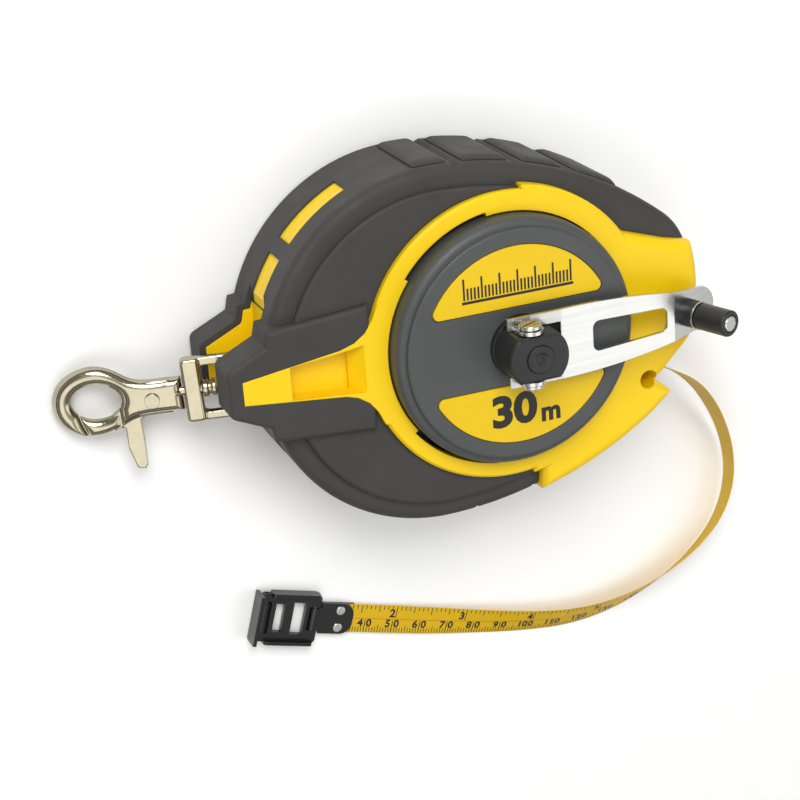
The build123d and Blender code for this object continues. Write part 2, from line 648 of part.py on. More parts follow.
def make_end_hook():
    """Shank clamped on the blade, folding frame and folding claw."""
    top = prism(fillet([v for v in Rectangle(11.5, 10.8).vertices() if v.X < 0], 4.0), 0, 1.0)
    plate = Pos(3.2, 0, END_MID_Z + BLADE_T / 2) * top
    under = Pos(3.2, 0, END_MID_Z - BLADE_T / 2 - 0.7) * prism(Rectangle(11.5, 10.4), 0, 0.7)
    knuckle = Pos(HINGE_1, 0, 1.9) * Rot(90, 0, 0) * Cylinder(1.7, 7.6)
    neck = block(8.6, HINGE_1, -3.8, 3.8, END_MID_Z + BLADE_T / 2, 2.6)
    web = block(8.2, 9.2, -3.8, 3.8, 0.2, 2.1)
    shank = plate + under + knuckle + neck + web
    bore = Pos(HINGE_1, 0, 1.9) * Rot(90, 0, 0)
    shank -= bore * Cylinder(0.8, 20)
    for y in (-3.0, 3.0):
        shank -= disc(0.9, -1, 5, 2.4, y)
    frame = block(9.9, 30.6, -FRAME_HALF, FRAME_HALF, 1.0, 2.9)
    frame = fillet(frame.edges().filter_by(Axis.Z), 1.2)
    frame -= block(8.0, 13.6, -4.1, 4.1, 0, 5)
    frame -= block(14.9, 19.2, -5.6, 5.6, 0, 5)
    frame -= block(22.2, 25.4, -5.0, 5.0, 0, 5)
    frame -= block(27.0, 32.0, -5.6, 5.6, 0, 5)
    for side in (1, -1):
        wall = block(10.9, 27.8, side * FRAME_HALF - 0.6, side * FRAME_HALF + 0.6, 0.6, 4.6)
        frame += fillet(wall.edges().filter_by(Axis.Y), 1.2)
    frame -= bore * Cylinder(0.8, 17.2)
    bore2 = Pos(HINGE_2, 0, 1.9) * Rot(90, 0, 0)
    frame -= bore2 * Cylinder(0.8, 17.2)
    claw = bore2 * Cylinder(1.6, 10.6) + block(HINGE_2, HINGE_2 + 3.4, -5.3, 5.3, 1.2, 2.4)
    claw += block(HINGE_2 + 2.2, HINGE_2 + 3.4, -FRAME_HALF - 0.2, FRAME_HALF + 0.2, 0.3, 6.8)
    claw -= bore2 * Cylinder(0.8 + FIT, 20)
    pins = [bore * Cylinder(0.8 - FIT, 15.6), bore2 * Cylinder(0.8 - 0.001, 15.6)]
    rivets = []
    for y in (-3.0, 3.0):
        head = disc(1.6, 2.1, 2.7, 2.4, y)
        rivets.append(disc(0.9, 0.1, 2.1, 2.4, y) + fillet(top_edges(head, 2.7), 0.4))
    return shank, frame, claw, pins, rivets


# ---- lanyard hook, in its own frame: -X runs outwards from the post, flat in XY ----
HOOK_Z = 18.0
LOOP_IN, LOOP_OUT, LOOP_HALF = 5.2, -14.1, 10.2
BAR, END_BAR = 2.8, 5.7
STEM_R = 1.75
RIVET_AT = (-23.6, -1.2)
EYE_AT, EYE_HALF = (-40.1, -0.1), (7.6, 5.6)
GATE_R = 22.4                     # swing of the gate's tip about its rivet


def hook_place():
    """Place of the lanyard hook: tilted down to the table, swung and slipped a little on its post."""
    return Pos(POST_X, MID_Y, HOOK_Z) * Rot(0, 0, HOOK_YAW) * Rot(0, -HOOK_TILT, 0) * Pos(0, HOOK_SLIP, 0)


def hook_outline():
    """Outline of the snap hook: a neck, a waist and the round bow."""
    bow = Spline((-18.9, 4.8), (-25.0, 4.9), (-29.4, 6.0), (-33.4, 8.7), (-38.6, 11.0), (-45.5, 10.3),
                 (-51.0, 6.6), (-53.4, 0.5), (-52.4, -4.9), (-48.6, -9.2), (-42.4, -11.0), (-35.4, -9.6),
                 (-29.8, -6.9), (-24.0, -6.2), (-18.9, -6.2))
    neck = Polyline((-18.9, -6.2), (-14.4, -6.2), (-14.4, 4.8), (-18.9, 4.8))
    return make_face([bow, neck])


def gate_zone(radius, edge):
    """Part of the bow that the gate fills, inside its swing and below a line."""
    swing = Pos(*RIVET_AT) * Circle(radius)
    return swing & Pos(-48.4, edge - 30) * Rectangle(30, 60)


def make_loop():
    """Lanyard loop: a heavy outer bar, two arms and a lighter bar behind the post."""
    frame = block(LOOP_OUT + 2.0, LOOP_IN, -LOOP_HALF, LOOP_HALF, -BAR / 2, BAR / 2)
    inner = [e for e in frame.edges().filter_by(Axis.Z) if e.center().X > 0]
    frame = fillet(inner, 2.4)
    frame = fillet(top_edges(frame, BAR / 2) + top_edges(frame, -BAR / 2), 0.6)
    window = block(LOOP_OUT + END_BAR, LOOP_IN - 2.3, -LOOP_HALF + BAR, LOOP_HALF - BAR, -5, 5)
    frame -= fillet(window.edges().filter_by(Axis.Z), 1.2)
    bar = block(LOOP_OUT, LOOP_OUT + END_BAR, -LOOP_HALF, LOOP_HALF, -2.2, 2.2)
    loop = frame + fillet(bar.edges(), 1.1)
    return loop - Pos(LOOP_OUT, 0, 0) * Rot(0, 90, 0) * Cylinder(STEM_R + FIT, 20)


def make_snap_hook():
    """Loop, swivel, hook body, trigger and rivet."""
    swivel = Pos(-12.2, 0, 0) * Rot(0, 90, 0) * Cylinder(STEM_R, 10.6)
    for centre, radius, length in ((-7.4, 2.8, 1.5), (-6.0, 2.2, 1.6), (-4.8, 2.7, 1.2)):
        collar = Pos(centre, 0, 0) * Rot(0, 90, 0) * Cylinder(radius, length)
        swivel += collar
    eye = Pos(*EYE_AT) * Ellipse(*EYE_HALF)
    body = prism(hook_outline(), -2.5, 2.5)
    body = fillet(top_edges(body, 2.5) + top_edges(body, -2.5), 1.3)
    hole = prism(eye, -4, 4)
    body -= hole
    body -= prism(gate_zone(GATE_R + 0.3, -0.6) - Pos(-18.0, 0) * Rectangle(30.4, 60), -4, 4)
    body -= block(-35.5, -18.6, -12, 3.4, -1.25, 1.25)
    body -= disc(1.5, -5, 5, *RIVET_AT)
    body -= Pos(-16.0, 0, 0) * Rot(0, 90, 0) * Cylinder(STEM_R, 3.4)
    gate = hook_outline() - Pos(*EYE_AT) * Ellipse(EYE_HALF[0] + 0.1, EYE_HALF[1] + 0.1)
    gate = (gate & gate_zone(GATE_R, -1.4)) - Pos(-18.0, 0) * Rectangle(31.2, 60)
    trigger = prism(gate, -2.2, 2.2)
    arm = polygon((-23.6, 1.6), (-27.0, 0.4), (-36.0, -5.6), (-37.0, -9.0), (-32.0, -9.6), (-28.0, -7.6), (-23.6, -4.2))
    tab = polygon((-28.0, -6.2), (-27.7, -14.0), (-27.9, -22.0), (-28.8, -23.4), (-31.2, -23.0), (-33.0, -16.0),
                  (-32.8, -8.0))
    trigger += prism(arm + Pos(*RIVET_AT) * Circle(3.0) + tab, -1.0, 1.0)
    trigger -= disc(1.5 + FIT, -5, 5, *RIVET_AT)
    rivet = disc(1.5, -2.5, 2.5, *RIVET_AT)
    for low, high in ((2.5, 3.2), (-3.2, -2.5)):
        rivet += disc(2.3, low, high, *RIVET_AT)
    return make_loop(), swivel, body, trigger, rivet


def main():
    """Build every node and write it."""
    front_shell, front_overmould = make_front()
    rear_shell, rear_overmould = make_rear()
    core, rear_flange, front_flange, bush, washer = make_drum()
    collar, knob_washer, knob, knob_rivet = make_knob_set()
    roller, roller_pin = make_mouth_parts()
    shank, frame, claw, pins, rivets = make_end_hook()
    loop, swivel, snap_body, trigger, snap_rivet = make_snap_hook()
    place = hook_place()
    nodes = {
        "front_shell": front_shell,
        "front_overmould": front_overmould,
        "rear_shell": rear_shell,
        "rear_overmould": rear_overmould,
        "back_plate": make_back_plate(),
        "case_screws": make_case_screws(),
        "lanyard_post": disc(POST_R, GAP_LOW - 5.5, GAP_HIGH + 5.5, POST_X, MID_Y),
        "drum_axle": make_axle(),
        "axle_screw": make_axle_screw(),
        "axle_clip": make_axle_clip(),
        "axle_bush": bush,
        "thrust_washer": washer,
        "drum_core": core,
        "rear_flange": rear_flange,
        "front_flange": front_flange,
        "tape_coil": make_coil(),
        "winding_disc": make_cover(),
        "upper_label": make_label(1),
        "lower_label": make_label(-1),
        "crank_hub": make_hub(),
        "hub_screws": make_hub_screws(),
        "release_button": make_button(),
        "button_spring": make_button_spring(),
        "crank_arm": make_arm(),
        "pivot_screws": make_pivot_screws(),
        "knob_collar": collar,
        "knob_washer": knob_washer,
        "crank_knob": knob,
        "knob_rivet": knob_rivet,
        "mouth_roller": roller,
        "roller_pin": roller_pin,
        "tape_lead": make_lead(),
        "tape_blade": make_blade(),
        "hook_shank": END_PLACE * shank,
        "shank_rivets": END_PLACE * Compound(children=rivets),
        "end_frame": END_PLACE * frame,
        "end_claw": END_PLACE * claw,
        "frame_pin": END_PLACE * pins[0],
        "claw_pin": END_PLACE * pins[1],
        "lanyard_loop": place * loop,
        "swivel_stem": place * swivel,
        "snap_hook_body": place * snap_body,
        "snap_trigger": place * trigger,
        "trigger_rivet": place * snap_rivet,
    }
    for name, shape in nodes.items():
        save(name, shape)
    print_route()


main()
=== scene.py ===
import json
from math import cos, hypot, pi, radians, sin, sqrt

import bmesh
import bpy
from mathutils import Matrix, Vector
from mathutils.kdtree import KDTree


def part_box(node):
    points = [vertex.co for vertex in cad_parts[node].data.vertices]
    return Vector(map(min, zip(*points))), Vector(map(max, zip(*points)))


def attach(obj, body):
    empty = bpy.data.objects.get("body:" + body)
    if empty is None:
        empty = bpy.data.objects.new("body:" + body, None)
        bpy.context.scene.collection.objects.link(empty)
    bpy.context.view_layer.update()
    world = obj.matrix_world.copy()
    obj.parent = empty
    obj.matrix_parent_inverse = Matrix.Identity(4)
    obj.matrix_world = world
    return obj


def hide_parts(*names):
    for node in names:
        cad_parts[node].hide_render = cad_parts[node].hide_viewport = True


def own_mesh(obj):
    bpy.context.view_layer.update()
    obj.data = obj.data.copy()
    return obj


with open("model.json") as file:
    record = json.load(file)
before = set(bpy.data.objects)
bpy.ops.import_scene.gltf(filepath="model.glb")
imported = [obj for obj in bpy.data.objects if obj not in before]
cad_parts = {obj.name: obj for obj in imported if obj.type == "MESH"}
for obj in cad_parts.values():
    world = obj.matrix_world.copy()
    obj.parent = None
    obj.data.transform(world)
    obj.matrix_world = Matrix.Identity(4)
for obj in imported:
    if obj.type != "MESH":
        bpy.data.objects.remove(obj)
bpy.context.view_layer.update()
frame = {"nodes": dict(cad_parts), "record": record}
MM = 0.001
scene = bpy.context.scene
scene.view_settings.view_transform = "Standard"

# ---------------------------------------------------------------- camera
camera_data = bpy.data.cameras.new("camera")
camera_data.lens = 90
camera_data.sensor_width = 36
camera_data.clip_start = 0.01
camera = bpy.data.objects.new("camera", camera_data)
scene.collection.objects.link(camera)
right = Vector((0.9284, -0.0689, 0.3650)).normalized()
back = Vector((-0.3153, 0.3737, 0.8723)).normalized()
up = back.cross(right).normalized()
right = up.cross(back).normalized()
turn = Matrix((right, up, back)).transposed().to_4x4()
camera.matrix_world = Matrix.Translation((-0.22443, 0.20998, 0.56072)) @ turn
scene.camera = camera


# ---------------------------------------------------------------- materials
def linear(red, green, blue):
    """sRGB 0 to 255 as a linear colour."""
    out = []
    for value in (red, green, blue):
        value /= 255
        out.append(value / 12.92 if value <= 0.04045 else ((value + 0.055) / 1.055) ** 2.4)
    return tuple(out) + (1.0,)


def shade(colour, factor):
    """The colour made lighter or darker."""
    return tuple(min(1.0, c * factor) for c in colour[:3]) + (1.0,)


def blend_colour(tree, factor, first, second):
    """Mix node between two colours or sockets."""
    mix = tree.nodes.new("ShaderNodeMix")
    mix.data_type = "RGBA"
    tree.links.new(factor, mix.inputs["Factor"])
    for socket, value in (("A", first), ("B", second)):
        index = 6 if socket == "A" else 7
        if isinstance(value, tuple):
            mix.inputs[index].default_value = value
        else:
            tree.links.new(value, mix.inputs[index])
    return mix.outputs[2]


def remap(tree, value, low, high, to_low, to_high):
    """Map Range node."""
    node = tree.nodes.new("ShaderNodeMapRange")
    tree.links.new(value, node.inputs["Value"])
    for name, number in (("From Min", low), ("From Max", high), ("To Min", to_low), ("To Max", to_high)):
        node.inputs[name].default_value = number
    return node.outputs["Result"]


def noise(tree, coords, scale, detail=4.0, stretch=None):
    """Noise texture, stretched along an axis for brushed metal."""
    if stretch:
        mapping = tree.nodes.new("ShaderNodeMapping")
        mapping.inputs["Scale"].default_value = stretch
        tree.links.new(coords, mapping.inputs["Vector"])
        coords = mapping.outputs["Vector"]
    node = tree.nodes.new("ShaderNodeTexNoise")
    node.inputs["Scale"].default_value = scale
    node.inputs["Detail"].default_value = detail
    tree.links.new(coords, node.inputs["Vector"])
    return node.outputs["Fac"]


def surface(name, colour, rough, metal=0.0, grain=2500.0, depth=0.1, stretch=None, mottle=0.06,
            vary=0.08, edge=0.0003, wear=0.3, lighter=1.5, coat=0.0, specular=0.5, patch=45.0):
    """Procedural material: grain, colour drift, uneven gloss, rounded and slightly worn edges."""
    material = bpy.data.materials.new(name)
    material.use_nodes = True
    tree = material.node_tree
    shader = tree.nodes["Principled BSDF"]
    coords = tree.nodes.new("ShaderNodeTexCoord").outputs["Object"]
    drift = noise(tree, coords, patch, 5.0)
    base = blend_colour(tree, remap(tree, drift, 0.3, 0.7, 0.0, 1.0), shade(colour, 1 - mottle),
                        shade(colour, 1 + mottle))
    speck = noise(tree, coords, 900.0, 3.0)
    base = blend_colour(tree, remap(tree, speck, 0.35, 0.75, 0.0, 0.35), base,
                        shade(colour, 1 - 1.6 * mottle))
    bump = tree.nodes.new("ShaderNodeBump")
    bump.inputs["Strength"].default_value = depth
    bump.inputs["Distance"].default_value = 0.0002
    tree.links.new(noise(tree, coords, grain, 3.0, stretch), bump.inputs["Height"])
    if edge:
        bevel = tree.nodes.new("ShaderNodeBevel")
        bevel.samples = 6
        bevel.inputs["Radius"].default_value = edge
        tree.links.new(bevel.outputs["Normal"], bump.inputs["Normal"])
        geometry = tree.nodes.new("ShaderNodeNewGeometry")
        dot = tree.nodes.new("ShaderNodeVectorMath")
        dot.operation = "DOT_PRODUCT"
        tree.links.new(bevel.outputs["Normal"], dot.inputs[0])
        tree.links.new(geometry.outputs["True Normal"], dot.inputs[1])
        mask = remap(tree, dot.outputs["Value"], 0.99, 0.80, 0.0, 1.0)
        scuffs = remap(tree, noise(tree, coords, 260.0, 6.0), 0.42, 0.62, 0.15, 1.0)
        both = tree.nodes.new("ShaderNodeMath")
        both.operation = "MULTIPLY"
        tree.links.new(mask, both.inputs[0])
        tree.links.new(scuffs, both.inputs[1])
        scaled = remap(tree, both.outputs[0], 0.0, 1.0, 0.0, wear)
        base = blend_colour(tree, scaled, base, shade(colour, lighter))
    tree.links.new(base, shader.inputs["Base Color"])
    gloss = noise(tree, coords, 120.0, 5.0, stretch)
    tree.links.new(remap(tree, gloss, 0.25, 0.75, rough - vary, rough + vary), shader.inputs["Roughness"])
    tree.links.new(bump.outputs["Normal"], shader.inputs["Normal"])
    shader.inputs["Metallic"].default_value = metal
    shader.inputs["Coat Weight"].default_value = coat
    shader.inputs["Coat Roughness"].default_value = 0.25
    shader.inputs["Specular IOR Level"].default_value = specular
    return material


YELLOW = linear(242, 202, 6)
GREY = linear(58, 57, 55)
yellow = surface("yellow_shell", YELLOW, 0.42, grain=3200, depth=0.06, mottle=0.02, wear=0.25, lighter=1.15,
                 edge=0.0005, specular=0.35)
rubber = surface("grey_rubber", GREY, 0.62, grain=2600, depth=0.35, mottle=0.07, wear=0.35, lighter=1.7,
                 edge=0.0006, specular=0.4)
disc_grey = surface("disc_plastic", linear(72, 75, 74), 0.5, grain=2800, depth=0.25, mottle=0.05, wear=0.4,
                    lighter=1.6, edge=0.0004)
black = surface("black_plastic", linear(34, 34, 35), 0.42, grain=3000, depth=0.15, mottle=0.1, wear=0.35,
                lighter=3.0, edge=0.0003)
black_steel = surface("black_steel", linear(24, 24, 25), 0.28, metal=0.25, grain=2200, depth=0.12,
                      mottle=0.12, wear=0.6, lighter=6.0, edge=0.00018, coat=0.25)
label_mat = surface("label", linear(228, 190, 8), 0.4, grain=4200, depth=0.03, mottle=0.02, wear=0.2,
                    lighter=1.2, edge=0.0002, specular=0.35)
steel = surface("steel", linear(206, 206, 202), 0.27, metal=1.0, grain=700, depth=0.02, mottle=0.04,
                stretch=(0.08, 5.0, 1.0), vary=0.05, wear=0.3, lighter=1.2, edge=0.0002)
nickel = surface("nickel", linear(178, 170, 146), 0.15, metal=1.0, grain=900, depth=0.04, mottle=0.08,
                 vary=0.05, wear=0.25, lighter=1.25, edge=0.0003, patch=160)
spring_steel = surface("spring_steel", linear(150, 150, 152), 0.32, metal=1.0, grain=1500, depth=0.05, edge=0)
bronze = surface("bronze", linear(176, 140, 84), 0.4, metal=1.0, grain=2400, depth=0.2, edge=0.0002)
blade_mat = surface("blade", linear(212, 172, 14), 0.5, grain=5200, depth=0.03, mottle=0.04, edge=0,
                    specular=0.3, patch=90)
ink = surface("print_ink", linear(24, 23, 22), 0.45, grain=5200, depth=0.03, mottle=0.2, edge=0)
red_ink = surface("red_ink", linear(178, 38, 26), 0.45, grain=5200, depth=0.03, mottle=0.1, edge=0)

FINISH = {"yellow_shell": yellow, "grey_rubber": rubber, "black_plastic": black, "disc_plastic": disc_grey,
          "label": label_mat, "steel": steel, "nickel": nickel, "blade": blade_mat,
          "spring_steel": spring_steel, "bronze": bronze, "black_steel": black_steel}
SLOT_OF = {part["node"]: part["material_slot"] for part in frame["record"]["subparts"]}
for node, piece in frame["nodes"].items():
    finish = FINISH[SLOT_OF[node]]
    if not piece.material_slots:
        piece.data.materials.append(finish)
    for place in piece.material_slots:
        place.material = finish


for node in ("end_frame", "end_claw", "hook_shank"):
    rounding = frame["nodes"][node].modifiers.new("rounding", "BEVEL")
    rounding.width = 0.25 * MM
    rounding.segments = 3
    rounding.limit_method = "ANGLE"


# ---------------------------------------------------------------- mesh helpers
def add_mesh(name, verts, faces, material, body, smooth=True):
    """A new mesh piece that rides on a body. Vertices are in millimetres."""
    mesh = bpy.data.meshes.new(name)
    mesh.from_pydata([[c * MM for c in v] for v in verts], [], faces)
    mesh.materials.append(material)
    mesh.update()
    piece = bpy.data.objects.new(name, mesh)
    scene.collection.objects.link(piece)
    if smooth:
        mesh.shade_smooth()
    else:
        mesh.shade_flat()
    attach(piece, body)
    return piece


# ---------------------------------------------------------------- blade
# Control points of the free blade (x, y, z in mm) and the turn of its width from upright, in degrees.
ROUTE = [
    (55.0, -25.0, 20.5, 0.0),
    (65.0, -30.3, 18.9, -7.0),
    (76.2, -38.4, 15.2, -9.0),
    (86.4, -51.8, 10.6, -5.0),
    (93.6, -68.0, 7.2, 3.0),
    (95.2, -83.4, 5.7, 12.0),
    (90.6, -97.0, 5.1, 21.0),
    (81.0, -107.4, 4.5, 29.0),
    (68.0, -115.4, 4.1, 37.0),
    (52.4, -120.8, 3.5, 47.0),
    (35.4, -122.4, 2.9, 56.0),
    (17.6, -119.8, 2.3, 64.0),
    (-0.6, -115.4, 1.7, 74.0),
    (-18.6, -110.6, 1.2, 86.0),
    (-34.0, -106.1, 1.0, 90.0),
    (-47.3, -102.2, 1.0, 90.0),
]
BLADE_W, BLADE_T = 10.0, 0.2
SHOWN_END = 32.4                  # distance of the blade's end from the claw's outer face

route_curve = bpy.data.curves.new("blade_route", "CURVE")
route_curve.dimensions = "3D"
spline = route_curve.splines.new("NURBS")
spline.points.add(len(ROUTE) - 1)
for point, (x, y, z, _) in zip(spline.points, ROUTE):
    point.co = (x * MM, y * MM, z * MM, 1.0)
spline.order_u = 3
spline.use_endpoint_u = True
spline.resolution_u = 24
route = bpy.data.objects.new("blade_route", route_curve)
scene.collection.objects.link(route)
sampled = bpy.data.meshes.new_from_object(route)
line = [v.co.copy() / MM for v in sampled.vertices]
if (line[0] - Vector(ROUTE[0][:3])).length > 1:
    line.reverse()
bpy.data.meshes.remove(sampled)
bpy.data.objects.remove(route)
bpy.data.curves.remove(route_curve)


def turn_at(place):
    """Turn of the width at a point of the line, from the two nearest control points."""
    near = sorted(range(len(ROUTE)), key=lambda i: (Vector(ROUTE[i][:3]) - place).length)[:2]
    near.sort()
    a, b = (Vector(ROUTE[i][:3]) for i in near)
    share = max(0.0, min(1.0, (place - a).dot(b - a) / (b - a).length_squared))
    return ROUTE[near[0]][3] * (1 - share) + ROUTE[near[1]][3] * share


turns = [turn_at(p) for p in line]
for _ in range(30):
    turns = [turns[0]] + [(a + 2 * b + c) / 4 for a, b, c in zip(turns, turns[1:], turns[2:])] + [turns[-1]]
steps = [0.0]
for a, b in zip(line, line[1:]):
    steps.append(steps[-1] + (b - a).length)
BLADE_LENGTH = steps[-1]
frames = []
for index, place in enumerate(line):
    along = (line[min(index + 1, len(line) - 1)] - line[max(index - 1, 0)]).normalized()
    side = -Vector((0, 0, 1)).cross(along).normalized()
    width = Vector((0, 0, 1)) * cos(radians(turns[index])) + side * sin(radians(turns[index]))
    width = (width - along * width.dot(along)).normalized()
    frames.append((place, along, width, width.cross(along)))


def on_blade(distance, across, lift):
    """Point on the blade: distance from its hooked end, place across its width, height over its face."""
    want = BLADE_LENGTH - distance
    low, high = 0, len(steps) - 1
    while high - low > 1:
        middle = (low + high) // 2
        low, high = (middle, high) if steps[middle] <= want else (low, middle)
    share = (want - steps[low]) / (steps[high] - steps[low])
    one, two = frames[low], frames[high]
    place = one[0].lerp(two[0], share)
    return place + one[2].lerp(two[2], share) * across + one[3].lerp(two[3], share) * lift


ACROSS = [-1, -0.985, -0.9, -0.6, -0.3, 0, 0.3, 0.6, 0.9, 0.985, 1]
verts, faces = [], []
for place, along, width, face in frames:
    for lift in (1, -1):
        for share in ACROSS if lift == 1 else reversed(ACROSS):
            thin = 0.55 if abs(share) == 1 else 1.0
            verts.append(place + width * (share * BLADE_W / 2) + face * (lift * thin * BLADE_T / 2))
ring = 2 * len(ACROSS)
for index in range(len(frames) - 1):
    for step in range(ring):
        a, b = index * ring + step, index * ring + (step + 1) % ring
        faces.append((a, b, b + ring, a + ring))
faces.append(tuple(range(ring)))
faces.append(tuple(reversed(range((len(frames) - 1) * ring, len(frames) * ring))))
ribbon = add_mesh("blade_ribbon", verts, faces, blade_mat, "case")

LIFT = BLADE_T / 2 + 0.012


def patch_verts(verts, faces, start, end, low, high, cuts=1):
    """Adds a thin printed mark lying on the blade."""
    base = len(verts)
    for cut in range(cuts + 1):
        at = start + (end - start) * cut / cuts
        verts += [on_blade(at, low, LIFT), on_blade(at, high, LIFT)]
    for cut in range(cuts):
        a = base + 2 * cut
        faces.append((a, a + 2, a + 3, a + 1))


def blade_print():
    """Graduations: millimetres along the lower edge, inches along the upper edge, and a centre line."""
    verts, faces = [], []
    first, last = SHOWN_END - 2, SHOWN_END + BLADE_LENGTH - 3
    for tick in range(int(first) + 1, int(last)):
        reach = 4.5 if tick % 10 == 0 else 2.7 if tick % 5 == 0 else 1.9
        at, half = tick - SHOWN_END, 0.17 if tick % 10 == 0 else 0.13
        patch_verts(verts, faces, at - half, at + half, -BLADE_W / 2 + 0.15, -BLADE_W / 2 + reach)
    step = 25.4 / 16
    for tick in range(int(first / step) + 1, int(last / step)):
        reach = 4.6 if tick % 16 == 0 else 3.0 if tick % 8 == 0 else 2.4 if tick % 4 == 0 else 1.6
        at = tick * step - SHOWN_END
        patch_verts(verts, faces, at - 0.14, at + 0.14, BLADE_W / 2 - reach, BLADE_W / 2 - 0.15)
    marks = add_mesh("blade_graduations", verts, faces, ink, "case", smooth=False)
    verts, faces = [], []
    patch_verts(verts, faces, 2, BLADE_LENGTH - 3, -0.08, 0.08, cuts=240)
    rule = add_mesh("blade_centre_line", verts, faces, red_ink, "case", smooth=False)
    return [marks, rule]


def glyph_mesh(text, height, bold=0.0):
    """Flat mesh of a short text in the built-in font, with its centre at zero, in millimetres."""
    data = bpy.data.curves.new("glyphs", "FONT")
    data.body = text
    data.size = height / 0.72
    data.align_x, data.align_y = "CENTER", "CENTER"
    data.offset = bold
    data.resolution_u = 4
    holder = bpy.data.objects.new("glyphs", data)
    scene.collection.objects.link(holder)
    mesh = bpy.data.meshes.new_from_object(holder)
    verts = [(v.co.x, v.co.y) for v in mesh.vertices]
    faces = [tuple(p.vertices) for p in mesh.polygons]
    bpy.data.objects.remove(holder)
    bpy.data.curves.remove(data)
    bpy.data.meshes.remove(mesh)
    return verts, faces


def numbers(name, material, wanted):
    """Numbers along the blade as thin printed shapes: (text, distance, across, height) for each."""
    verts, faces = [], []
    for text, at, across, height in wanted:
        flat, cells = glyph_mesh(text, height, 0.13)
        base = len(verts)
        verts += [on_blade(at - SHOWN_END + x, across + y, LIFT + 0.004) for x, y in flat]
        faces += [tuple(base + i for i in cell) for cell in cells]
    return add_mesh(name, verts, faces, material, "case", smooth=False)


marks = blade_print()
metric = []
for value in range(40, int(SHOWN_END + BLADE_LENGTH) - 4, 10):
    digits = str(value)
    metric += [(digits[:-1], value - 1.65, -1.7, 2.7), (digits[-1], value + 1.45, -1.7, 2.7)]
inches = [(str(i), i * 25.4 - 1.4, 2.0, 2.9) for i in range(2, int((SHOWN_END + BLADE_LENGTH) / 25.4))]
marks.append(numbers("blade_numbers", ink, metric + inches))
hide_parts("tape_blade")


# ---------------------------------------------------------------- labels
LABEL_TOP = 48.9


def flat_piece(name, verts, faces, height, material, body, thick=0.12):
    """A thin raised shape standing on a plane."""
    mesh = bmesh.new()
    grid = [mesh.verts.new((x * MM, y * MM, height * MM)) for x, y in verts]
    for face in faces:
        try:
            mesh.faces.new([grid[i] for i in face])
        except ValueError:
            continue
    data = bpy.data.meshes.new(name)
    mesh.to_mesh(data)
    mesh.free()
    data.materials.append(material)
    piece = bpy.data.objects.new(name, data)
    scene.collection.objects.link(piece)
    thicken = piece.modifiers.new("thickness", "SOLIDIFY")
    thicken.thickness = thick * MM
    thicken.offset = 1
    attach(piece, body)


def ruler_motif():
    """Generic ruler ticks for the upper label."""
    verts, faces = [], []
    for index in range(-15, 16):
        x = index * 1.15
        tall = 6.6 if index % 5 == 0 else 3.6
        base = len(verts)
        verts += [(x - 0.28, 17.2), (x + 0.28, 17.2), (x + 0.28, 17.2 + tall), (x - 0.28, 17.2 + tall)]
        faces.append((base, base + 1, base + 2, base + 3))
    base = len(verts)
    verts += [(-18.0, 16.0), (18.0, 16.0), (18.0, 16.8), (-18.0, 16.8)]
    faces.append((base, base + 1, base + 2, base + 3))
    return verts, faces


verts, faces = ruler_motif()
flat_piece("upper_label_ticks", verts, faces, LABEL_TOP, ink, "crank")
flat, cells = glyph_mesh("30", 9.6, 0.55)
tail, tail_cells = glyph_mesh("m", 6.2, 0.3)
flat_piece("lower_label_length", [(1.12 * x - 3.2, y - 20.6) for x, y in flat], cells, LABEL_TOP, ink,
           "crank")
flat_piece("lower_label_unit", [(x + 8.9, y - 23.1) for x, y in tail], tail_cells, LABEL_TOP, ink, "crank")


# ---------------------------------------------------------------- cast metal of the lanyard hook
JOINTS = {joint["name"]: joint for joint in frame["record"]["behaviour"]["joints"]}
RIVET = Vector(JOINTS["trigger_open"]["pos_m"])
HOOK_Z = Vector(JOINTS["trigger_open"]["axis"]).normalized()
HOOK_X = Vector(JOINTS["hook_swivel"]["axis"]).normalized()
HOOK_Y = HOOK_Z.cross(HOOK_X)
RIVET_X, RIVET_Y = -23.6, -1.2    # the rivet in the hook's own plane, mm from the swivel's end
BORE = 2.1                        # walls nearer than this to the rivet's or the stem's line are bores
SLOT_X = (-36.0, -18.1)           # where the slot for the trigger lies along the hook
CHEEK = 1.3                       # half height of that slot


def round_section(shape, half, reach):
    """Round bar from a flat one: the faces of the hook fall away towards its outline over the reach."""
    shape.update()
    places = []
    for vertex in shape.vertices:
        away = (vertex.co - RIVET) / MM
        places.append((away.dot(HOOK_X) + RIVET_X, away.dot(HOOK_Y) + RIVET_Y, away.dot(HOOK_Z)))
    outline = []
    for vertex, (x, y, z) in zip(shape.vertices, places):
        slot_wall = SLOT_X[0] < x < SLOT_X[1] and y < 3.9 and abs(z) < CHEEK + 0.1 and half > 2.3
        bore = hypot(x - RIVET_X, y - RIVET_Y) < BORE or (x > -18.6 and hypot(y, z) < BORE)
        if abs(vertex.normal.dot(HOOK_Z)) < 0.4 and not slot_wall and not bore:
            outline.append((x, y, 0))
    tree = KDTree(len(outline))
    for index, place in enumerate(outline):
        tree.insert(place, index)
    tree.balance()
    for vertex, (x, y, z) in zip(shape.vertices, places):
        share = min(tree.find((x, y, 0))[2] / reach, 1.0)
        top = max(half * sqrt(1 - (1 - share) ** 2), 0.3)
        if abs(z) <= half and SLOT_X[0] < x < SLOT_X[1] and y < 4.5:
            top = max(top, CHEEK + 0.1)
            over = max(abs(z) - CHEEK, 0)
            new = min(abs(z), CHEEK) + over * (top - CHEEK) / (half - CHEEK)
        else:
            new = abs(z) * top / half
        vertex.co += HOOK_Z * ((new if z > 0 else -new) - z) * MM


